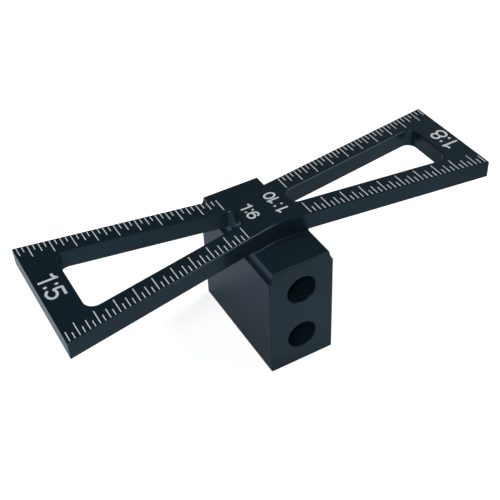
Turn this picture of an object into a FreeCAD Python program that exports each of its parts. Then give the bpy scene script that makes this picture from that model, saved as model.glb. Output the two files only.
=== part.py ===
import FreeCAD, Part
import os
import Sketcher

# Dovetail marker: a bow-tie plate and a fence block, machined from one piece of aluminium.
# The origin is the middle of the block's underside. +Z is up, and +X runs towards the slimmer arm.

os.makedirs("parts", exist_ok=True)
doc = FreeCAD.newDocument("DovetailMarker")

# Driving sizes in millimetres, each with what it measures.
sizes = {
    "armLength": (72.3, "block centre to either end of the plate"),
    "waistWidth": (17.84, "plate width where its two tapers cross"),
    "leftEndWidth": (44.74, "plate width at the end of the steep taper"),
    "rightEndWidth": (36.93, "plate width at the end of the slim taper"),
    "waistBendRadius": (25.0, "rounding where the two tapers meet"),
    "plateThickness": (5.9, "thickness of the arms"),
    "barWidth": (7.05, "side bar beside a window, square to the edge"),
    "endBarWidth": (9.5, "bar across the end of an arm"),
    "windowStart": (8.85, "block centre to the narrow end of a window"),
    "windowCornerRadius": (3.2, "rounding in a window's corners at the wide end"),
    "windowTipRadius": (2.2, "rounding in a window's corners at the narrow end"),
    "blockWidth": (22.4, "fence block along the plate"),
    "blockLength": (44.0, "fence block across the plate"),
    "shelfHeight": (41.0, "block underside to the shelf beside the waist"),
    "shelfDrop": (0.7, "shelf below the underside of the arms"),
    "shelfCornerRadius": (0.4, "hollow corner between the plate's edge and the shelf"),
    "reliefDepth": (1.4, "relief under the arms, in from the block's side"),
    "reliefFall": (4.2, "relief down from the underside of the arms"),
    "reliefRadius": (7.0, "hollow of the relief"),
    "boreDiameter": (10.0, "both bores through the block"),
    "boreDrop": (10.6, "shelf to the upper bore's axis"),
    "borePitch": (19.2, "upper bore's axis to the lower bore's axis"),
    "boreBreak": (0.2, "broken edge at the mouth of a bore"),
    "plateBreak": (0.25, "broken edge round the top of the plate"),
    "blockBreak": (0.3, "broken edge round the block"),
    "markPitch": (1.5875, "one graduation to the next, a sixteenth of an inch"),
    "firstMark": (10.9, "block centre to the first graduation"),
    "markWidth": (0.34, "width of every graduation"),
    "quarterMark": (5.9, "plate edge to the inner end of a quarter-inch graduation"),
    "eighthMark": (4.25, "plate edge to the inner end of an eighth-inch graduation"),
    "sixteenthMark": (2.9, "plate edge to the inner end of a sixteenth-inch graduation"),
    "markInset": (0.4, "plate edge to the outer end of every graduation"),
    "markDepth": (0.1, "depth of the engraving"),
}

sheet = doc.addObject("Spreadsheet::Sheet", "Sizes")
for row, (alias, (value, meaning)) in enumerate(sizes.items(), start=1):
    sheet.set(f"A{row}", meaning)
    sheet.set(f"B{row}", str(value))
    sheet.setAlias(f"B{row}", alias)
doc.recompute()

body = doc.addObject("PartDesign::Body", "MarkerBody")
body.Label = "marker_body"
body.Placement = FreeCAD.Placement()

# Lengths that several features share, as formulas of the sheet.
armUnderside = "(Sizes.shelfHeight + Sizes.shelfDrop)"
plateTop = "(Sizes.shelfHeight + Sizes.shelfDrop + Sizes.plateThickness)"
blockHalf = "(Sizes.blockWidth / 2)"
fenceHalf = "(Sizes.blockLength / 2)"
windowEnd = "(Sizes.armLength - Sizes.endBarWidth)"

# Lengths that differ by less than this are the same length.
touch = 1e-4
# A window's corner takes up at most this share of the window's half height.
largestRounding = 0.95

# The sketcher numbers the points of a curve, the origin and the upright axis like this.
startPoint, endPoint, centrePoint = 1, 2, 3
origin = (-1, 1)
uprightAxis = -2


def measure(formula):
    # The number that a formula of the sheet gives.
    return float(doc.getObject("Sizes").evalExpression(formula))


def slope(endWidth):
    # Half width gained for each millimetre along an arm.
    return f"((Sizes.{endWidth} - Sizes.waistWidth) / 2 / Sizes.armLength)"


def edgeHalf(endWidth, along):
    # Half width of the plate at a distance from the block's centre.
    return f"(Sizes.waistWidth / 2 + {slope(endWidth)} * {along})"


def windowHalf(endWidth, along):
    # Half height of a window, whose long sides lie parallel to the arm's edges.
    return f"({edgeHalf(endWidth, along)} - Sizes.barWidth * sqrt(1 + {slope(endWidth)}^2))"


def originItem(role):
    return next(item for item in body.Origin.OriginFeatures if item.Role == role)


def newSketch(name, role, height="0"):
    # An empty sketch on one of the body's own planes, raised along the plane's normal.
    sketch = body.newObject("Sketcher::SketchObject", name)
    sketch.AttachmentSupport = [(originItem(role), "")]
    sketch.MapMode = "FlatFace"
    sketch.setExpression("AttachmentOffset.Base.z", height)
    return sketch


def pin(sketch, edge, end, kind, formula):
    # Ties one end of an edge to the origin, along one axis.
    value = measure(formula)
    first, second = origin, (edge, end)
    if value < 0:
        first, second = second, first
        formula = f"-({formula})"
    index = sketch.addConstraint(Sketcher.Constraint(kind, *first, *second, abs(value)))
    sketch.setExpression(f"Constraints[{index}]", formula)


def polygon(sketch, corners):
    # A closed outline of straight edges through corners given as formulas.
    points = [FreeCAD.Vector(measure(x), measure(y), 0) for x, y in corners]
    count = len(points)
    edges = []
    for number in range(count):
        segment = Part.LineSegment(points[number], points[(number + 1) % count])
        edges.append(sketch.addGeometry(segment, False))
    for number in range(count):
        following = edges[(number + 1) % count]
        joint = (edges[number], endPoint, following, startPoint)
        sketch.addConstraint(Sketcher.Constraint("Coincident", *joint))
    for edge, (x, y) in zip(edges, corners):
        pin(sketch, edge, startPoint, "DistanceX", x)
        pin(sketch, edge, startPoint, "DistanceY", y)


def solidFeature(kind, name, sketch):
    feature = body.newObject(kind, name)
    feature.Profile = sketch
    feature.Refine = True
    return feature


def dressFeature(kind, name, base, edges):
    feature = body.newObject(kind, name)
    feature.Base = (base, edges)
    return feature


def edgesOf(feature, wanted):
    # Names of the edges of a feature that pass a test.
    return [f"Edge{number}" for number, edge in enumerate(feature.Shape.Edges, start=1) if wanted(edge)]


def isUpright(edge):
    low, high = edge.BoundBox.ZMin, edge.BoundBox.ZMax
    return high - low > touch and edge.BoundBox.XLength < touch and edge.BoundBox.YLength < touch


def isLevelAt(edge, height):
    return abs(edge.BoundBox.ZMin - height) < touch and abs(edge.BoundBox.ZMax - height) < touch


# The plate is a bow-tie: two tapers that cross at the waist, over the block.
plateSketch = newSketch("PlateSketch", "XY_Plane", "Sizes.shelfHeight")
polygon(plateSketch, [
    ("-Sizes.armLength", "-Sizes.leftEndWidth / 2"),
    ("0", "-Sizes.waistWidth / 2"),
    ("Sizes.armLength", "-Sizes.rightEndWidth / 2"),
    ("Sizes.armLength", "Sizes.rightEndWidth / 2"),
    ("0", "Sizes.waistWidth / 2"),
    ("-Sizes.armLength", "Sizes.leftEndWidth / 2"),
])
platePad = solidFeature("PartDesign::Pad", "PlatePad", plateSketch)
platePad.setExpression("Length", "Sizes.plateThickness + Sizes.shelfDrop")
doc.recompute()

waistEdges = edgesOf(platePad, lambda edge: isUpright(edge) and abs(edge.BoundBox.XMin) < touch)
waistBend = dressFeature("PartDesign::Fillet", "WaistBend", platePad, waistEdges)
waistBend.setExpression("Radius", "Sizes.waistBendRadius")

# Each arm has a window whose long sides follow the arm's edges.
windowSketch = newSketch("WindowSketch", "XY_Plane", plateTop)
for side, endWidth in (("-", "leftEndWidth"), ("", "rightEndWidth")):
    narrowHalf = windowHalf(endWidth, "Sizes.windowStart")
    wideHalf = windowHalf(endWidth, windowEnd)
    polygon(windowSketch, [
        (f"{side}Sizes.windowStart", f"-{narrowHalf}"),
        (f"{side}{windowEnd}", f"-{wideHalf}"),
        (f"{side}{windowEnd}", wideHalf),
        (f"{side}Sizes.windowStart", narrowHalf),
    ])
windows = solidFeature("PartDesign::Pocket", "Windows", windowSketch)
windows.Type = "ThroughAll"
doc.recompute()


def isWindowCorner(edge, along):
    return isUpright(edge) and abs(abs(edge.BoundBox.XMin) - measure(along)) < touch


# The rounding stays inside the narrower window's short sides.
roundedEnds = (
    ("WindowCorners", windowEnd, "windowCornerRadius"),
    ("WindowTips", "Sizes.windowStart", "windowTipRadius"),
)
rounded = windows
for name, along, rounding in roundedEnds:
    cornerEdges = edgesOf(rounded, lambda edge: isWindowCorner(edge, along))
    rounded = dressFeature("PartDesign::Fillet", name, rounded, cornerEdges)
    shortSide = windowHalf("rightEndWidth", along)
    rounded.setExpression("Radius", f"min(Sizes.{rounding}; {largestRounding} * {shortSide})")
    doc.recompute()

# The fence block stands under the waist, with every sharp edge broken.
blockSketch = newSketch("BlockSketch", "XY_Plane")
polygon(blockSketch, [
    (f"-{blockHalf}", f"-{fenceHalf}"),
    (blockHalf, f"-{fenceHalf}"),
    (blockHalf, fenceHalf),
    (f"-{blockHalf}", fenceHalf),
])
blockPad = solidFeature("PartDesign::Pad", "BlockPad", blockSketch)
blockPad.setExpression("Length", "Sizes.shelfHeight")
doc.recompute()

shelf = measure("Sizes.shelfHeight")
fence = measure(fenceHalf)


def isBlockEdge(edge):
    # The block's upright edges, its lower edges and the two ends of its shelf.
    if isLevelAt(edge, 0):
        return True
    box = edge.BoundBox
    atFence = abs(abs(box.YMin) - fence) < touch and abs(abs(box.YMax) - fence) < touch
    return atFence and box.ZMax < shelf + touch


blockBreak = dressFeature("PartDesign::Chamfer", "BlockBreak", blockPad, edgesOf(blockPad, isBlockEdge))
blockBreak.setExpression("Size", "Sizes.blockBreak")

# One long cut clears the underside of an arm and hollows the top of the block's side.
reliefSketch = newSketch("ReliefSketch", "XZ_Plane")
reliefTop = (f"({blockHalf} - Sizes.reliefDepth)", armUnderside)
reliefFoot = (blockHalf, f"({armUnderside} - Sizes.reliefFall)")
clearOfPlate = "(Sizes.armLength + Sizes.plateThickness)"
topPoint = FreeCAD.Vector(measure(reliefTop[0]), measure(reliefTop[1]), 0)
footPoint = FreeCAD.Vector(measure(reliefFoot[0]), measure(reliefFoot[1]), 0)
outerFoot = FreeCAD.Vector(measure(clearOfPlate), footPoint.y, 0)
outerTop = FreeCAD.Vector(measure(clearOfPlate), topPoint.y, 0)
chord = footPoint - topPoint
radius = measure("Sizes.reliefRadius")
sagitta = radius - (radius**2 - chord.Length**2 / 4) ** 0.5
hollowPoint = (topPoint + footPoint) / 2 + FreeCAD.Vector(chord.y, -chord.x, 0).normalize() * sagitta
hollow = reliefSketch.addGeometry(Part.Arc(topPoint, hollowPoint, footPoint), False)
floorLine = reliefSketch.addGeometry(Part.LineSegment(footPoint, outerFoot), False)
outerLine = reliefSketch.addGeometry(Part.LineSegment(outerFoot, outerTop), False)
topLine = reliefSketch.addGeometry(Part.LineSegment(outerTop, topPoint), False)
lines = (hollow, floorLine, outerLine, topLine)
for before, after in zip(lines, lines[1:] + lines[:1]):
    reliefSketch.addConstraint(Sketcher.Constraint("Coincident", before, endPoint, after, startPoint))
for point, (x, height) in ((startPoint, reliefTop), (endPoint, reliefFoot)):
    pin(reliefSketch, hollow, point, "DistanceX", x)
    pin(reliefSketch, hollow, point, "DistanceY", height)
pin(reliefSketch, outerLine, startPoint, "DistanceX", clearOfPlate)
reliefSketch.addConstraint(Sketcher.Constraint("Horizontal", floorLine))
reliefSketch.addConstraint(Sketcher.Constraint("Vertical", outerLine))
reliefSketch.addConstraint(Sketcher.Constraint("Horizontal", topLine))
hollowSize = reliefSketch.addConstraint(Sketcher.Constraint("Radius", hollow, radius))
reliefSketch.setExpression(f"Constraints[{hollowSize}]", "Sizes.reliefRadius")

reliefCut = solidFeature("PartDesign::Pocket", "ReliefCut", reliefSketch)
reliefCut.Type = "ThroughAll"
reliefCut.SideType = "Symmetric"
doc.recompute()

reliefPair = body.newObject("PartDesign::Mirrored", "ReliefPair")
reliefPair.Originals = [reliefCut]
reliefPair.MirrorPlane = (originItem("YZ_Plane"), [""])
reliefPair.Refine = True
body.Tip = reliefPair
doc.recompute()

waist = measure("Sizes.waistWidth / 2")


def isShelfCorner(edge):
    # The edges where the plate stands on the shelf, which lie inside the block's ends.
    box = edge.BoundBox
    nearer, farther = sorted((abs(box.YMin), abs(box.YMax)))
    return isLevelAt(edge, shelf) and box.XLength > touch and nearer > waist / 2 and farther < fence - touch


cornerEdges = edgesOf(reliefPair, isShelfCorner)
shelfCorners = dressFeature("PartDesign::Fillet", "ShelfCorners", reliefPair, cornerEdges)
shelfCorners.setExpression("Radius", "Sizes.shelfCornerRadius")
doc.recompute()

# Two bores run through the block, one above the other.
boreSketch = newSketch("BoreSketch", "XZ_Plane")
upperBore = "(Sizes.shelfHeight - Sizes.boreDrop)"
lowerBore = "(Sizes.shelfHeight - Sizes.boreDrop - Sizes.borePitch)"
diameter = measure("Sizes.boreDiameter")
for height in (upperBore, lowerBore):
    centre = FreeCAD.Vector(0, measure(height), 0)
    outline = Part.Circle(centre, FreeCAD.Vector(0, 0, 1), diameter / 2)
    circle = boreSketch.addGeometry(outline, False)
    boreSketch.addConstraint(Sketcher.Constraint("PointOnObject", circle, centrePoint, uprightAxis))
    pin(boreSketch, circle, centrePoint, "DistanceY", height)
    across = boreSketch.addConstraint(Sketcher.Constraint("Diameter", circle, diameter))
    boreSketch.setExpression(f"Constraints[{across}]", "Sizes.boreDiameter")
bores = solidFeature("PartDesign::Pocket", "Bores", boreSketch)
bores.Type = "ThroughAll"
bores.SideType = "Symmetric"
doc.recompute()


def isBoreMouth(edge):
    onFace = abs(abs(edge.BoundBox.YMin) - fence) < touch and edge.BoundBox.YLength < touch
    return onFace and isinstance(edge.Curve, Part.Circle)


boreMouths = dressFeature("PartDesign::Chamfer", "BoreMouths", bores, edgesOf(bores, isBoreMouth))
boreMouths.setExpression("Size", "Sizes.boreBreak")
doc.recompute()

top = measure(plateTop)
topEdges = edgesOf(boreMouths, lambda edge: isLevelAt(edge, top))
plateBreak = dressFeature("PartDesign::Chamfer", "PlateBreak", boreMouths, topEdges)
plateBreak.setExpression("Size", "Sizes.plateBreak")
doc.recompute()

# A scale of sixteenths of an inch is engraved along each tapered edge. Each scale starts as one
# quarter inch of four graduations, which is repeated along the taper to the end of the arm.
quarterInch = ("quarterMark", "sixteenthMark", "eighthMark", "sixteenthMark")
halfMark = "Sizes.markWidth / 2"


def markCorners(armSign, edgeSign, endWidth, centre, length):
    # A graduation lies square to the plate's length, and its outer end follows the taper.
    near = f"({centre} - {halfMark})"
    far = f"({centre} + {halfMark})"
    inner = f"({edgeHalf(endWidth, centre)} - Sizes.{length})"
    return [
        (f"{armSign}{near}", f"{edgeSign}{inner}"),
        (f"{armSign}{far}", f"{edgeSign}{inner}"),
        (f"{armSign}{far}", f"{edgeSign}({edgeHalf(endWidth, far)} - Sizes.markInset)"),
        (f"{armSign}{near}", f"{edgeSign}({edgeHalf(endWidth, near)} - Sizes.markInset)"),
    ]


def engraveScale(name, armSign, edgeSign, endWidth):
    sketch = newSketch(f"{name}Sketch", "XY_Plane", plateTop)
    for number, length in enumerate(quarterInch):
        centre = f"(Sizes.firstMark + {number} * Sizes.markPitch)"
        polygon(sketch, markCorners(armSign, edgeSign, endWidth, centre, length))
    ends = [
        (f"{armSign}{along}", f"{edgeSign}{edgeHalf(endWidth, along)}")
        for along in ("Sizes.firstMark", "Sizes.armLength")
    ]
    points = [FreeCAD.Vector(measure(x), measure(y), 0) for x, y in ends]
    taper = sketch.addGeometry(Part.LineSegment(*points), True)
    for point, (x, y) in zip((startPoint, endPoint), ends):
        pin(sketch, taper, point, "DistanceX", x)
        pin(sketch, taper, point, "DistanceY", y)
    cut = solidFeature("PartDesign::Pocket", f"{name}Cut", sketch)
    cut.setExpression("Length", "Sizes.markDepth")
    doc.recompute()
    scale = body.newObject("PartDesign::LinearPattern", name)
    scale.Originals = [cut]
    scale.Direction = (sketch, ["Axis0"])
    scale.Mode = "Spacing"
    groups = f"floor((Sizes.armLength - Sizes.firstMark) / ({len(quarterInch)} * Sizes.markPitch)) + 1"
    spacing = f"{len(quarterInch)} * Sizes.markPitch * sqrt(1 + {slope(endWidth)}^2)"
    scale.setExpression("Occurrences", groups)
    scale.setExpression("Offset", spacing)
    scale.Refine = True
    body.Tip = scale
    doc.recompute()


for armName, armSign, endWidth in (("Left", "-", "leftEndWidth"), ("Right", "", "rightEndWidth")):
    for edgeName, edgeSign in (("Front", "-"), ("Back", "")):
        engraveScale(f"{armName}{edgeName}Scale", armSign, edgeSign, endWidth)

# Nothing is written unless every object and the solid are sound.
for item in doc.Objects:
    if "Invalid" in item.State or "Error" in item.State:
        raise RuntimeError(f"{item.Name} did not build: {item.State}")
shape = body.Shape
if shape.isNull() or not shape.isValid() or len(shape.Solids) != 1:
    raise RuntimeError(f"{body.Label} is not one sound solid")
print(f"{body.Label}: {shape.Volume:.1f} cubic mm, {len(shape.Faces)} faces, {shape.BoundBox}")
shape.exportStep(os.path.join("parts", f"{body.Label}.step"))
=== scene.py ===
import bpy
import math
import numpy as np
from mathutils import Matrix, Vector


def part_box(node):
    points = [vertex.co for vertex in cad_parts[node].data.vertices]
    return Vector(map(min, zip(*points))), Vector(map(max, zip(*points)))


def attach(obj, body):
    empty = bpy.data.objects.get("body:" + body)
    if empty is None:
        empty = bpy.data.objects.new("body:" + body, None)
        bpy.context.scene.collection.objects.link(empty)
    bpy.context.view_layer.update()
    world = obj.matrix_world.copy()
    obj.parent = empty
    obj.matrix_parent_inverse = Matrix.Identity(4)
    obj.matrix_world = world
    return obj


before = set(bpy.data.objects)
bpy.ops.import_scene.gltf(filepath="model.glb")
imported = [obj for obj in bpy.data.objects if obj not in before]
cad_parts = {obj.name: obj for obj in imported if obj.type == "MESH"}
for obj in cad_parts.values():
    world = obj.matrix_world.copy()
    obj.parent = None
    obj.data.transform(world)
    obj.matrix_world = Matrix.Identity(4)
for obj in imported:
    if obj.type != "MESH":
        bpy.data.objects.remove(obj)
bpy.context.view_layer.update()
print("frame loaded")

mm = 0.001
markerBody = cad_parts["marker_body"]
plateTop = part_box("marker_body")[1].z


def toLinear(hexCode):
    # An sRGB hex colour as linear red, green and blue with full alpha.
    shares = [int(hexCode[i:i + 2], 16) / 255 for i in (1, 3, 5)]
    return [s / 12.92 if s <= 0.04045 else ((s + 0.055) / 1.055) ** 2.4 for s in shares] + [1.0]


def addNode(tree, kind, settings=None, links=None):
    # A node with its properties and socket values set and its inputs linked.
    node = tree.nodes.new(kind)
    for name, value in (settings or {}).items():
        if name in node.inputs:
            node.inputs[name].default_value = value
        else:
            setattr(node, name, value)
    for name, source in (links or {}).items():
        tree.links.new(source, node.inputs[name])
    return node


def mixColour(tree, factor, first, second):
    # The first colour where the factor is 0 and the second where it is 1.
    node = addNode(tree, "ShaderNodeMix", {"data_type": "RGBA"}, {"Factor": factor})
    node.inputs[6].default_value = first
    node.inputs[7].default_value = second
    return node.outputs[2]


def smoothRamp(tree, value, start, finish, low, high):
    return addNode(tree, "ShaderNodeMapRange", {
        "interpolation_type": "SMOOTHSTEP",
        "From Min": start, "From Max": finish, "To Min": low, "To Max": high,
    }, {"Value": value}).outputs["Result"]


def combine(tree, operation, first, second):
    # One arithmetic node, each side a number or another node's output.
    node = addNode(tree, "ShaderNodeMath", {"operation": operation})
    for socket, value in zip(node.inputs, (first, second)):
        if isinstance(value, bpy.types.NodeSocket):
            tree.links.new(value, socket)
        else:
            socket.default_value = value
    return node.outputs[0]


def startMaterial(name):
    material = bpy.data.materials.new(name)
    material.use_nodes = True
    material.node_tree.nodes.clear()
    return material, material.node_tree


# Black anodised aluminium: a dark dyed oxide over metal, so it mirrors pale at a glancing angle.
anodised = {
    "dye": "#20313b",
    "dyeWorn": "#283b45",
    "metallic": 0.55,       # the rest is the matt body of the dyed oxide
    "edgeTint": (0.9, 0.95, 1.0, 1.0),
    "sealWeight": 0.22,      # the sealed, glassy top of the oxide
    "sealRoughness": 0.2,
    "roughness": (0.30, 0.40),
    "blotchSize": 14.0,     # mm, slow change of the dye
    "gritSize": 0.22,       # mm, bead-blast dimples, drawn coarse enough to show
    "gritHeight": 0.004,    # mm
    "gritStrength": 0.35,
    "gritRange": (0.3, 0.7),    # the noise values that the roughness runs between
}


def anodisedMaterial(name):
    material, tree = startMaterial(name)
    place = addNode(tree, "ShaderNodeTexCoord").outputs["Object"]
    blotch = addNode(tree, "ShaderNodeTexNoise", {
        "Scale": 1 / (anodised["blotchSize"] * mm), "Detail": 3.0, "Roughness": 0.55,
    }, {"Vector": place}).outputs["Fac"]
    grit = addNode(tree, "ShaderNodeTexNoise", {
        "Scale": 1 / (anodised["gritSize"] * mm), "Detail": 2.0, "Roughness": 0.6,
    }, {"Vector": place}).outputs["Fac"]
    colour = mixColour(tree, blotch, toLinear(anodised["dye"]), toLinear(anodised["dyeWorn"]))
    rough = addNode(tree, "ShaderNodeMapRange", {
        "From Min": anodised["gritRange"][0], "From Max": anodised["gritRange"][1],
        "To Min": anodised["roughness"][0], "To Max": anodised["roughness"][1],
    }, {"Value": grit}).outputs["Result"]
    bump = addNode(tree, "ShaderNodeBump", {
        "Strength": anodised["gritStrength"], "Distance": anodised["gritHeight"] * mm,
    }, {"Height": grit}).outputs["Normal"]
    skin = addNode(tree, "ShaderNodeBsdfPrincipled", {
        "Metallic": anodised["metallic"], "Specular IOR Level": 0.0, "Specular Tint": anodised["edgeTint"],
        "Coat Weight": anodised["sealWeight"], "Coat Roughness": anodised["sealRoughness"],
    }, {
        "Base Color": colour, "Roughness": rough, "Normal": bump,
    })
    addNode(tree, "ShaderNodeOutputMaterial", None, {"Surface": skin.outputs["BSDF"]})
    return material


# Marking filled with white: matt, slightly uneven where the fill is thin.
fill = {"white": "#eff4f8", "thin": "#ccd2d6", "roughness": 0.55, "unevenSize": 0.8}


def fillMaterial(name):
    material, tree = startMaterial(name)
    place = addNode(tree, "ShaderNodeTexCoord").outputs["Object"]
    uneven = addNode(tree, "ShaderNodeTexNoise", {
        "Scale": 1 / (fill["unevenSize"] * mm), "Detail": 2.0, "Roughness": 0.5,
    }, {"Vector": place}).outputs["Fac"]
    colour = mixColour(tree, uneven, toLinear(fill["white"]), toLinear(fill["thin"]))
    paint = addNode(tree, "ShaderNodeBsdfPrincipled", {"Roughness": fill["roughness"]}, {
        "Base Color": colour,
    })
    addNode(tree, "ShaderNodeOutputMaterial", None, {"Surface": paint.outputs["BSDF"]})
    return material


blackSkin = anodisedMaterial("black_anodised_aluminium")
whiteFill = fillMaterial("white_marking_fill")
for slot in markerBody.material_slots:
    slot.material = blackSkin
print("materials made")


def addPiece(name, vertices, faces, material):
    mesh = bpy.data.meshes.new(name)
    mesh.from_pydata(vertices.tolist(), [], faces)
    mesh.materials.append(material)
    mesh.update()
    piece = bpy.data.objects.new(name, mesh)
    bpy.context.scene.collection.objects.link(piece)
    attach(piece, "root")
    return piece


def strokeShell(paths, halfWidths, low, top, crown, closed=False):
    # A low closed shell along each path, flat underneath. Its top is at height
    # top + crown * (1 - across^4), where across runs from -1 to 1 over the stroke's width.
    paths = np.asarray(paths, float)
    count, steps, _ = paths.shape
    halfWidths = np.broadcast_to(np.asarray(halfWidths, float), (count, steps))
    if closed:
        heading = np.roll(paths, -1, axis=1) - np.roll(paths, 1, axis=1)
    else:
        heading = np.gradient(paths, axis=1)
    heading /= np.linalg.norm(heading, axis=2, keepdims=True)
    sideways = np.stack([-heading[..., 1], heading[..., 0]], axis=-1)
    across = np.array([-1.0, -0.85, -0.4, 0.4, 0.85, 1.0])
    ringAcross = np.concatenate([across, [1.0, -1.0]])
    ringHeight = np.concatenate([top + crown * (1 - across**4), [low, low]])
    flat = paths[:, :, None, :] + sideways[:, :, None, :] * (halfWidths[:, :, None] * ringAcross)[..., None]
    height = np.broadcast_to(ringHeight, flat.shape[:3])
    vertices = np.concatenate([flat, height[..., None]], axis=-1)
    ring = len(ringAcross)
    number = np.arange(count * steps * ring).reshape(count, steps, ring)
    a = number if closed else number[:, :-1]
    b = np.roll(number, -1, axis=1) if closed else number[:, 1:]
    faces = np.stack([a, np.roll(a, -1, axis=2), np.roll(b, -1, axis=2), b], axis=-1).reshape(-1, 4).tolist()
    if not closed:
        faces += number[:, 0, ::-1].tolist()
        faces += number[:, -1, :].tolist()
    return vertices.reshape(-1, 3), faces


def placeOnPlate(vertices):
    # Flat millimetres on the plate's top face to metres in the frame.
    placed = vertices * mm
    placed[:, 2] += plateTop
    return placed


# Graduations: one row of strokes along each tapered edge, every stroke square to the plate's length.
# Each is the white fill of an engraved groove, a hair narrower than it and just short of flush.
graduations = {
    "count": 39,
    "pitch": 1.5875,       # mm, a sixteenth of an inch
    "first": 10.9,         # mm from the block's centre
    "width": 0.33,
    "lengths": (5.9, 2.9, 4.25, 2.9),   # mm, repeating every quarter inch
    "edgeGap": 0.46,
    "endGap": 0.03,
    "low": -0.095,
    "top": -0.02,
    "crown": 0.012,
    "waistHalf": 8.92,
    "slopes": {-1: 0.18604, 1: 0.13202},
}


def graduationPaths():
    number = np.arange(graduations["count"])
    along = graduations["first"] + graduations["pitch"] * number
    lengths = np.array(graduations["lengths"])[number % 4]
    reach = np.linspace(0, 1, 5)
    paths = []
    for arm, slope in graduations["slopes"].items():
        edge = graduations["waistHalf"] + slope * along
        for side in (-1, 1):
            outer = edge - graduations["edgeGap"]
            inner = edge - lengths + graduations["endGap"]
            y = side * (inner[:, None] + (outer - inner)[:, None] * reach)
            x = np.broadcast_to((arm * along)[:, None], y.shape)
            paths.append(np.stack([x, y], axis=-1))
    return np.concatenate(paths)


vertices, faces = strokeShell(graduationPaths(), graduations["width"] / 2, graduations["low"],
                              graduations["top"], graduations["crown"])
addPiece("graduations", placeOnPlate(vertices), faces, whiteFill)
print("graduations made")

# Numerals: each glyph is a set of strokes drawn in cap heights, p along the reading direction from
# the glyph's middle and q up from the baseline. An arc is a centre, two radii and two angles.
glyphs = {
    "1": [("line", (0, 0), (0, 1)), ("line", (-0.03, 0.93), (-0.09, 0.83), (-0.2, 0.79), (-0.37, 0.77))],
    ":": [("line", (0.03, 0.125), (-0.02, 0.285)), ("line", (0.03, 0.685), (-0.02, 0.845))],
    "0": [("ring", (0, 0.5), (0.30, 0.405))],
    "5": [("line", (-0.27, 0.50), (-0.27, 0.918), (0.31, 0.918)),
          ("arc", (-0.01, 0.328), (0.30, 0.252), 150, -160)],
    "6": [("ring", (0, 0.338), (0.298, 0.255)), ("arc", (0, 0.45), (0.30, 0.46), 185, 33)],
    "8": [("ring", (0, 0.718), (0.24, 0.197)), ("ring", (0, 0.294), (0.313, 0.23))],
}
# One row each: glyphs with their places across the plate, then baseline, cap height and stroke width.
ratios = {
    "ratioOneToFive": {"up": 1, "baseline": -71.05, "cap": 6.1, "stroke": 0.83,
                       "glyphs": (("1", 3.65), (":", 1.15), ("5", -2.3))},
    "ratioOneToSix": {"up": 1, "baseline": -6.72, "cap": 4.2, "stroke": 0.66,
                      "glyphs": (("1", 2.15), (":", 0.5), ("6", -1.85))},
    "ratioOneToTen": {"up": -1, "baseline": 6.3, "cap": 4.2, "stroke": 0.67,
                      "glyphs": (("1", -3.8), (":", -1.62), ("1", 1.5), ("0", 3.7))},
    "ratioOneToEight": {"up": -1, "baseline": 71.05, "cap": 5.95, "stroke": 0.79,
                        "glyphs": (("1", -3.85), (":", -1.48), ("8", 1.93))},
}
numeralSteps = 48
arcSteps = 240
endTaper, endShare = 0.2, 0.7    # a stroke's end narrows over this share of its width, to this share of it
numeralLow, numeralTop, numeralCrown = -0.02, 0.002, 0.004   # mm from the plate's top face


def strokePoints(stroke):
    # Points along a stroke at even distances, in cap heights.
    kind = stroke[0]
    if kind == "line":
        raw = np.array(stroke[1:], float)
    else:
        centre, radii = np.array(stroke[1]), np.array(stroke[2])
        start, finish = (0, 360) if kind == "ring" else stroke[3:]
        turn = np.radians(np.linspace(start, finish, arcSteps))
        raw = centre + radii * np.stack([np.cos(turn), np.sin(turn)], axis=-1)
    travelled = np.concatenate([[0], np.cumsum(np.linalg.norm(np.diff(raw, axis=0), axis=1))])
    places = np.linspace(0, travelled[-1], numeralSteps, endpoint=kind != "ring")
    return np.stack([np.interp(places, travelled, raw[:, axis]) for axis in (0, 1)], axis=-1)


def numeralShells(ratio):
    # The reading direction turns with the numerals: up is +X on the left arm and -X on the right.
    groups = {True: [], False: []}
    for glyph, middle in ratio["glyphs"]:
        for stroke in glyphs[glyph]:
            points = strokePoints(stroke) * ratio["cap"]
            x = ratio["baseline"] + ratio["up"] * points[:, 1]
            y = middle - ratio["up"] * points[:, 0]
            groups[stroke[0] == "ring"].append(np.stack([x, y], axis=-1))
    allVertices, allFaces, offset = [], [], 0
    for closed, paths in groups.items():
        if not paths:
            continue
        paths = np.array(paths)
        halfWidths = np.full(paths.shape[:2], ratio["stroke"] / 2)
        if not closed:
            # Each end narrows in a quarter ellipse, so it looks like a cutter's round end.
            length = np.linalg.norm(np.diff(paths, axis=1), axis=2).sum(axis=1)
            place = np.linspace(0, 1, numeralSteps)
            fromEnd = np.minimum(place, 1 - place) * length[:, None]
            ease = np.clip(fromEnd / (endTaper * ratio["stroke"]), 0, 1)
            halfWidths *= endShare + (1 - endShare) * np.sqrt(1 - (1 - ease) ** 2)
        vertices, faces = strokeShell(paths, halfWidths, numeralLow, numeralTop, numeralCrown, closed)
        allVertices.append(vertices)
        allFaces += [[corner + offset for corner in face] for face in faces]
        offset += len(vertices)
    return np.concatenate(allVertices), allFaces


for ratioName, ratio in ratios.items():
    vertices, faces = numeralShells(ratio)
    addPiece(ratioName, placeOnPlate(vertices), faces, whiteFill)
print("numerals made")

# Camera: stands to the left of the block, looking down on the plate.
cameraView = {
    "azimuth": -27.913, "elevation": 41.147, "distance": 272.39,
    "aimX": -12.09, "aimY": -16.6, "roll": -2.773,
    "focalPixels": 946.43, "centreX": 256.0, "centreY": 251.0, "pictureWidth": 500.0,
    "sensorWidth": 36.0,
}


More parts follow.
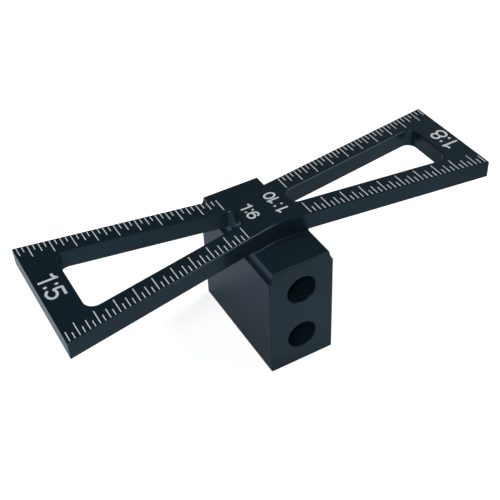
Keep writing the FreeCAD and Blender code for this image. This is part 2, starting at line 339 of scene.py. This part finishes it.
def makeCamera():
    azimuth = math.radians(cameraView["azimuth"])
    elevation = math.radians(cameraView["elevation"])
    roll = math.radians(cameraView["roll"])
    back = Vector((math.sin(azimuth) * math.cos(elevation),
                   -math.cos(azimuth) * math.cos(elevation), math.sin(elevation)))
    aim = Vector((cameraView["aimX"] * mm, cameraView["aimY"] * mm, plateTop))
    right = Vector((0, 0, 1)).cross(back).normalized()
    up = back.cross(right)
    rolledRight = right * math.cos(roll) + up * math.sin(roll)
    rolledUp = up * math.cos(roll) - right * math.sin(roll)
    camera = bpy.data.objects.new("camera", bpy.data.cameras.new("camera"))
    bpy.context.scene.collection.objects.link(camera)
    place = Matrix((rolledRight, rolledUp, back)).transposed().to_4x4()
    place.translation = aim + back * cameraView["distance"] * mm
    camera.matrix_world = place
    width = cameraView["pictureWidth"]
    camera.data.sensor_width = cameraView["sensorWidth"]
    camera.data.lens = cameraView["sensorWidth"] * cameraView["focalPixels"] / width
    camera.data.shift_x = -(cameraView["centreX"] - width / 2) / width
    camera.data.shift_y = (cameraView["centreY"] - width / 2) / width
    camera.data.clip_start = 0.01
    camera.data.clip_end = 100.0
    bpy.context.scene.camera = camera


makeCamera()

# Stage: a plain pale floor, which looks white to the camera and keeps the shadow.
# In reflections it carries painted light: painted shade at the object's foot, a painted dark surround beyond
# a pale sheet, and a painted glow that is stronger towards the left.
stage = {
    "sheetRadius": 0.5, "floorRadius": 6.0, "floorSides": 64, "floorColour": "#ececec",
    "cameraLift": 0.75,
    # Painted light, seen only in reflections: shade at the object's foot, a dark surround beyond the pale
    # sheet, and a glow stronger towards the left.
    "paintedFootShade": 0.6, "footReach": 0.036, "sheetNear": 0.112, "sheetFar": 0.15, "paintedSurroundShade": 0.12,
    "towardGlowSide": (-1.0, 0.7, 0.0), "glowSideNear": 0.0, "glowSideFar": 0.128,
    "paintedSheetGlow": 0.14, "paintedLeftGlow": 0.68, "paintedGlowColour": "#d4e4fa",
}


def makeFloor():
    sides = stage["floorSides"]
    turn = np.linspace(0, 2 * math.pi, sides + 1)[:-1]
    ring = np.stack([np.cos(turn), np.sin(turn)], axis=1)
    rings = np.concatenate([ring * stage["sheetRadius"], ring * stage["floorRadius"]])
    vertices = np.concatenate([rings, np.zeros((len(rings), 1))], axis=1)
    number = np.arange(sides)
    following = (number + 1) % sides
    faces = np.stack([number, number + sides, following + sides, following], axis=1).tolist()
    faces.append(number.tolist())
    mesh = bpy.data.meshes.new("floor")
    mesh.from_pydata(vertices.tolist(), [], faces)
    material, tree = startMaterial("pale_floor")
    ray = addNode(tree, "ShaderNodeLightPath")
    place = addNode(tree, "ShaderNodeTexCoord").outputs["Object"]
    distance = addNode(tree, "ShaderNodeVectorMath", {"operation": "LENGTH"}, {
        "Vector": place,
    }).outputs["Value"]
    # Painted shade: in reflections the floor darkens towards the object's foot.
    foot = smoothRamp(tree, distance, 0.0, stage["footReach"], stage["paintedFootShade"], 1.0)
    # Painted shade: in reflections the floor beyond the pale sheet turns dark.
    sheet = smoothRamp(tree, distance, stage["sheetNear"], stage["sheetFar"], 1.0, stage["paintedSurroundShade"])
    # Painted glow: in reflections the floor glows, more strongly towards the left.
    leftward = addNode(tree, "ShaderNodeVectorMath", {"operation": "DOT_PRODUCT"}, {"Vector": place})
    leftward.inputs[1].default_value = stage["towardGlowSide"]
    paintedGlowStrength = addNode(tree, "ShaderNodeMapRange", {
        "From Min": stage["glowSideNear"], "From Max": stage["glowSideFar"],
        "To Min": stage["paintedSheetGlow"], "To Max": stage["paintedLeftGlow"],
    }, {"Value": leftward.outputs["Value"]}).outputs["Result"]
    # In reflections the floor's colour is scaled by the painted foot shade and the painted dark surround.
    mirrored = combine(tree, "MULTIPLY", ray.outputs["Is Glossy Ray"], combine(tree, "MULTIPLY", foot, sheet))
    paintedReflectionGlow = combine(tree, "MULTIPLY", mirrored, paintedGlowStrength)
    seen = combine(tree, "MAXIMUM", ray.outputs["Is Camera Ray"], ray.outputs["Is Transmission Ray"])
    seenGlow = combine(tree, "MULTIPLY", seen, stage["cameraLift"])
    notMirrored = combine(tree, "SUBTRACT", 1.0, ray.outputs["Is Glossy Ray"])
    lit = combine(tree, "ADD", notMirrored, mirrored)
    shade = mixColour(tree, lit, (0, 0, 0, 1), toLinear(stage["floorColour"]))
    paper = addNode(tree, "ShaderNodeBsdfDiffuse", None, {"Color": shade})
    # Emission: white for the camera, and the painted glow in reflections.
    glow = addNode(tree, "ShaderNodeEmission", None, {
        "Color": mixColour(tree, seen, toLinear(stage["paintedGlowColour"]), (1, 1, 1, 1)),
        "Strength": combine(tree, "ADD", paintedReflectionGlow, seenGlow),
    })
    both = addNode(tree, "ShaderNodeAddShader")
    tree.links.new(paper.outputs[0], both.inputs[0])
    tree.links.new(glow.outputs[0], both.inputs[1])
    addNode(tree, "ShaderNodeOutputMaterial", None, {"Surface": both.outputs[0]})
    mesh.materials.append(material)
    floor = bpy.data.objects.new("floor", mesh)
    bpy.context.scene.collection.objects.link(floor)


studio = {
    "leftHorizon": 0.02, "rightHorizon": 0.38, "ceilingStrength": 0.05,
    "leftColour": "#bcecff", "rightColour": "#fff2e4",
    "wallFrom": 0.1, "wallFull": 0.7,    # how far to the right the pale wall begins and is full
    "turnsDimAt": (28, 40),   # degrees above the horizon
    "backdropTop": (2, 8),    # degrees, where the white backdrop ends in reflections
}


def makeWorld():
    # The studio has a pale wall low down on the right, and is dim on the left and overhead.
    world = bpy.data.worlds.new("studio")
    bpy.context.scene.world = world
    world.use_nodes = True
    tree = world.node_tree
    tree.nodes.clear()
    direction = addNode(tree, "ShaderNodeTexCoord").outputs["Generated"]
    axes = addNode(tree, "ShaderNodeSeparateXYZ", None, {"Vector": direction}).outputs
    toRight = smoothRamp(tree, axes["X"], studio["wallFrom"], studio["wallFull"], 0.0, 1.0)
    horizon = addNode(tree, "ShaderNodeMapRange", {
        "To Min": studio["leftHorizon"], "To Max": studio["rightHorizon"],
    }, {"Value": toRight}).outputs["Result"]
    colour = mixColour(tree, toRight, toLinear(studio["leftColour"]), toLinear(studio["rightColour"]))
    low, high = (math.sin(math.radians(angle)) for angle in studio["turnsDimAt"])
    level = addNode(tree, "ShaderNodeMapRange", {
        "interpolation_type": "SMOOTHSTEP", "From Min": low, "From Max": high,
        "To Max": studio["ceilingStrength"],
    }, {"Value": axes["Z"], "To Min": horizon}).outputs["Result"]
    sky = addNode(tree, "ShaderNodeBackground", None, {"Color": colour, "Strength": level})
    # The camera sees a white backdrop all round, and the metal mirrors it low down on the right.
    backdrop = addNode(tree, "ShaderNodeBackground", {"Color": (1, 1, 1, 1), "Strength": 1.0})
    ray = addNode(tree, "ShaderNodeLightPath")
    nearGround, overGround = (math.sin(math.radians(angle)) for angle in studio["backdropTop"])
    lowDown = smoothRamp(tree, axes["Z"], nearGround, overGround, 1.0, 0.0)
    lowRight = combine(tree, "MULTIPLY", lowDown, toRight)
    mirrored = combine(tree, "MULTIPLY", ray.outputs["Is Glossy Ray"], lowRight)
    seen = combine(tree, "MAXIMUM", ray.outputs["Is Camera Ray"], ray.outputs["Is Transmission Ray"])
    studioLight = addNode(tree, "ShaderNodeMixShader", None, {
        "Fac": combine(tree, "MAXIMUM", seen, mirrored),
    })
    tree.links.new(sky.outputs[0], studioLight.inputs[1])
    tree.links.new(backdrop.outputs[0], studioLight.inputs[2])
    addNode(tree, "ShaderNodeOutputWorld", None, {"Surface": studioLight.outputs[0]})


# Wide distant lamps. Azimuth 0 stands in front of the block, and -90 to its left. All angles are in degrees.
lamps = {
    "keyLamp": {"azimuth": 98, "elevation": 55, "strength": 1.08, "spread": 26},
    "edgeLamp": {"azimuth": 47, "elevation": 34, "strength": 0.25, "spread": 10},
    "fillLamp": {"azimuth": -36, "elevation": 43, "strength": 1.05, "spread": 20},
    "roomLamp": {"azimuth": -40, "elevation": 76, "strength": 0.1, "spread": 70},
}


def addSoftLamp(name, azimuth, elevation, strength, spread):
    a, e = math.radians(azimuth), math.radians(elevation)
    toward = Vector((math.sin(a) * math.cos(e), -math.cos(a) * math.cos(e), math.sin(e)))
    lamp = bpy.data.objects.new(name, bpy.data.lights.new(name, "SUN"))
    lamp.data.energy = strength
    lamp.data.angle = math.radians(spread)
    lamp.rotation_mode = "QUATERNION"
    lamp.rotation_quaternion = toward.to_track_quat("Z", "Y")
    bpy.context.scene.collection.objects.link(lamp)


makeFloor()
makeWorld()
for lampName, lamp in lamps.items():
    addSoftLamp(lampName, **lamp)
print("stage made")

scene = bpy.context.scene
scene.view_settings.view_transform = "Standard"
